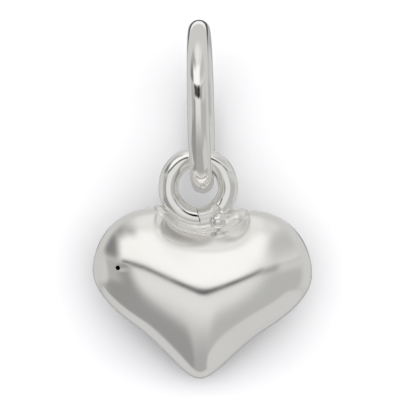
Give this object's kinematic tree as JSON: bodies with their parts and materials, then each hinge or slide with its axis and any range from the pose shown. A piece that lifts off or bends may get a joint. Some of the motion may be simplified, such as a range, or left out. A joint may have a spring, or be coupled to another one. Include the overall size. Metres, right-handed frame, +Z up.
{
  "type": "puffed heart pendant",
  "caption": "Small hollow puffed heart charm in polished silver, with a soldered wire loop, hanging from a round jump ring that takes a chain or cord.",
  "frame": {"origin": "inside top of the jump ring, where a chain or cord carries the pendant", "axes": "+Z up as the pendant hangs, +X to the right across the heart seen from the front, +Y from front to back"},
  "size_m": [0.0101, 0.008, 0.0165],
  "materials": {
    "polished_silver": "polished"
  },
  "bodies": {
    "ring": {"jump_ring": "polished_silver"},
    "drop": {"heart": "polished_silver"}
  },
  "joints": [
    {"name": "heart_swing", "type": "hinge", "parent": "ring", "child": "drop", "pos_m": [0.00015, 0, -0.0065], "axis": [0, 1, 0], "range_deg": [-120, 120]}
  ]
}
